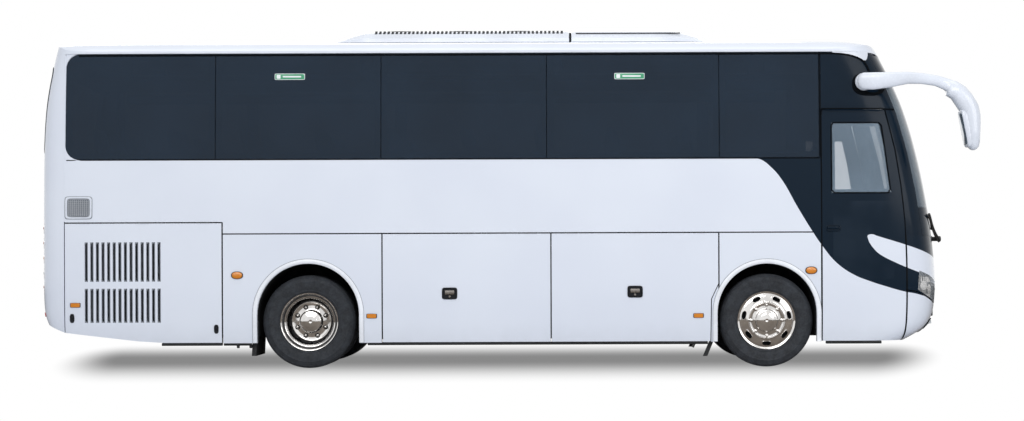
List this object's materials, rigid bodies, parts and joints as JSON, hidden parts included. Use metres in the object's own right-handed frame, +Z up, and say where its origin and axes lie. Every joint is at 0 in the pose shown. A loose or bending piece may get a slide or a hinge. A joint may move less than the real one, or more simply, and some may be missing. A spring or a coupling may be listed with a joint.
{
  "type": "coach bus",
  "caption": "Two-axle touring coach with twin rear wheels, bonded tinted side glass, luggage doors, a roof climate unit and hanging arm mirrors.",
  "frame": {"origin": "on the ground, below the centre of the overall box with the mirrors", "axes": "+X forward, +Y to the left, +Z up"},
  "size_m": [9.6877, 2.88, 3.549],
  "materials": {
    "body_paint": "gloss white coachwork paint",
    "gloss_black": "gloss black panel",
    "tinted_glass": "dark tinted bonded glass",
    "clear_glass": "laminated safety glass",
    "lamp_clear": "clear lamp lens over bright reflectors",
    "lamp_red": "red lamp lens",
    "interior_trim": "grey interior moulding and floor covering",
    "chassis_metal": "black chassis paint",
    "rubber": "moulded rubber",
    "wheel_metal": "steel wheel with bright trim",
    "tyre": "tyre rubber",
    "seat_fabric": "woven seat cover"
  },
  "bodies": {
    "root": {"side_wall_right": "body_paint", "side_wall_left": "body_paint", "roof_shell": "body_paint", "front_panel": "body_paint", "front_bumper": "body_paint", "rear_panel": "body_paint", "roof_ac_unit": "body_paint", "wheel_arch_trims": "body_paint", "mirrors": "body_paint", "gloss_panels": "gloss_black", "side_windows": "tinted_glass", "rear_window": "tinted_glass", "windscreen": "clear_glass", "headlamps": "lamp_clear", "tail_lamps": "lamp_red", "floor_deck": "interior_trim", "luggage_bays": "interior_trim", "wheel_housings": "interior_trim", "dashboard": "interior_trim", "luggage_racks": "interior_trim", "chassis_frame": "chassis_metal", "front_axle": "chassis_metal", "rear_axle": "chassis_metal", "engine_block": "chassis_metal", "air_springs": "rubber", "mudflaps": "rubber", "wipers": "rubber", "passenger_seats_right": "seat_fabric", "passenger_seats_left": "seat_fabric", "driver_seat": "seat_fabric", "steering_wheel": "interior_trim"},
    "knuckle_left": {"knuckle_left": "chassis_metal"},
    "knuckle_right": {"knuckle_right": "chassis_metal"},
    "tie_rod": {"tie_rod": "chassis_metal"},
    "front_wheel_left": {"wheel_front_left": "wheel_metal", "tyre_front_left": "tyre"},
    "front_wheel_right": {"wheel_front_right": "wheel_metal", "tyre_front_right": "tyre"},
    "rear_wheels_left": {"wheel_rear_left": "wheel_metal", "tyres_rear_left": "tyre"},
    "rear_wheels_right": {"wheel_rear_right": "wheel_metal", "tyres_rear_right": "tyre"},
    "driver_door": {"driver_door": "body_paint", "driver_door_glass": "clear_glass"},
    "passenger_door_arm": {"passenger_door_arm": "chassis_metal"},
    "passenger_door": {"passenger_door": "body_paint", "passenger_door_glass": "clear_glass"},
    "luggage_door_right_rear": {"luggage_door_right_rear": "body_paint"},
    "luggage_door_right_front": {"luggage_door_right_front": "body_paint"},
    "luggage_door_left_rear": {"luggage_door_left_rear": "body_paint"},
    "luggage_door_left_front": {"luggage_door_left_front": "body_paint"},
    "engine_flap_right": {"engine_flap_right": "body_paint"},
    "engine_flap_left": {"engine_flap_left": "body_paint"},
    "engine_hatch": {"engine_hatch": "body_paint"}
  },
  "joints": [
    {"name": "steer_left", "type": "hinge", "parent": "root", "child": "knuckle_left", "pos_m": [2.655, 1.035, 0.479], "axis": [0, 0, 1], "range_deg": [-40, 40]},
    {"name": "steer_right", "type": "hinge", "parent": "root", "child": "knuckle_right", "pos_m": [2.655, -1.035, 0.479], "axis": [0, 0, 1], "range_deg": [-40, 40]},
    {"name": "tie_rod_pivot", "type": "hinge", "parent": "knuckle_left", "child": "tie_rod", "pos_m": [2.54, 1.035, 0.365], "axis": [0, 0, 1], "range_deg": [-40, 40]},
    {"name": "roll_front_left", "type": "hinge", "parent": "knuckle_left", "child": "front_wheel_left", "pos_m": [2.655, 1.035, 0.479], "axis": [0, 1, 0], "continuous": true},
    {"name": "roll_front_right", "type": "hinge", "parent": "knuckle_right", "child": "front_wheel_right", "pos_m": [2.655, -1.035, 0.479], "axis": [0, 1, 0], "continuous": true},
    {"name": "roll_rear_left", "type": "hinge", "parent": "root", "child": "rear_wheels_left", "pos_m": [-2.045, 0.8665, 0.479], "axis": [0, 1, 0], "continuous": true},
    {"name": "roll_rear_right", "type": "hinge", "parent": "root", "child": "rear_wheels_right", "pos_m": [-2.045, -0.8665, 0.479], "axis": [0, 1, 0], "continuous": true},
    {"name": "driver_door_swing", "type": "hinge", "parent": "root", "child": "driver_door", "pos_m": [4.089, -1.22437, 0.8], "axis": [0, 0, 1], "range_deg": [0, 80]},
    {"name": "passenger_door_arm_swing", "type": "hinge", "parent": "root", "child": "passenger_door_arm", "pos_m": [3.95, 1.09, 1], "axis": [0, 0, -1], "range_deg": [0, 100]},
    {"name": "passenger_door_leaf", "type": "hinge", "parent": "passenger_door_arm", "child": "passenger_door", "pos_m": [3.56, 1.09, 1], "axis": [0, 0, -1], "range_deg": [-100, 0]},
    {"name": "luggage_door_right_rear_lift", "type": "hinge", "parent": "root", "child": "luggage_door_right_rear", "pos_m": [-0.4215, -1.24, 1.383], "axis": [-1, 0, 0], "range_deg": [0, 88]},
    {"name": "luggage_door_right_front_lift", "type": "hinge", "parent": "root", "child": "luggage_door_right_front", "pos_m": [1.3025, -1.24, 1.383], "axis": [-1, 0, 0], "range_deg": [0, 88]},
    {"name": "engine_flap_right_lift", "type": "hinge", "parent": "root", "child": "engine_flap_right", "pos_m": [-3.7305, -1.24, 1.5], "axis": [-1, 0, 0], "range_deg": [0, 88]},
    {"name": "luggage_door_left_rear_lift", "type": "hinge", "parent": "root", "child": "luggage_door_left_rear", "pos_m": [-0.4215, 1.24, 1.383], "axis": [1, 0, 0], "range_deg": [0, 88]},
    {"name": "luggage_door_left_front_lift", "type": "hinge", "parent": "root", "child": "luggage_door_left_front", "pos_m": [1.3025, 1.24, 1.383], "axis": [1, 0, 0], "range_deg": [0, 88]},
    {"name": "engine_flap_left_lift", "type": "hinge", "parent": "root", "child": "engine_flap_left", "pos_m": [-3.7305, 1.24, 1.5], "axis": [1, 0, 0], "range_deg": [0, 88]},
    {"name": "engine_hatch_lift", "type": "hinge", "parent": "root", "child": "engine_hatch", "pos_m": [-4.845, 0, 1.7], "axis": [0, 1, 0], "range_deg": [0, 75]}
  ],
  "couplings": [
    {"joint": "steer_right", "follows": "steer_left", "ratio": 1},
    {"joint": "tie_rod_pivot", "follows": "steer_left", "ratio": -1},
    {"joint": "passenger_door_leaf", "follows": "passenger_door_arm_swing", "ratio": -1}
  ]
}
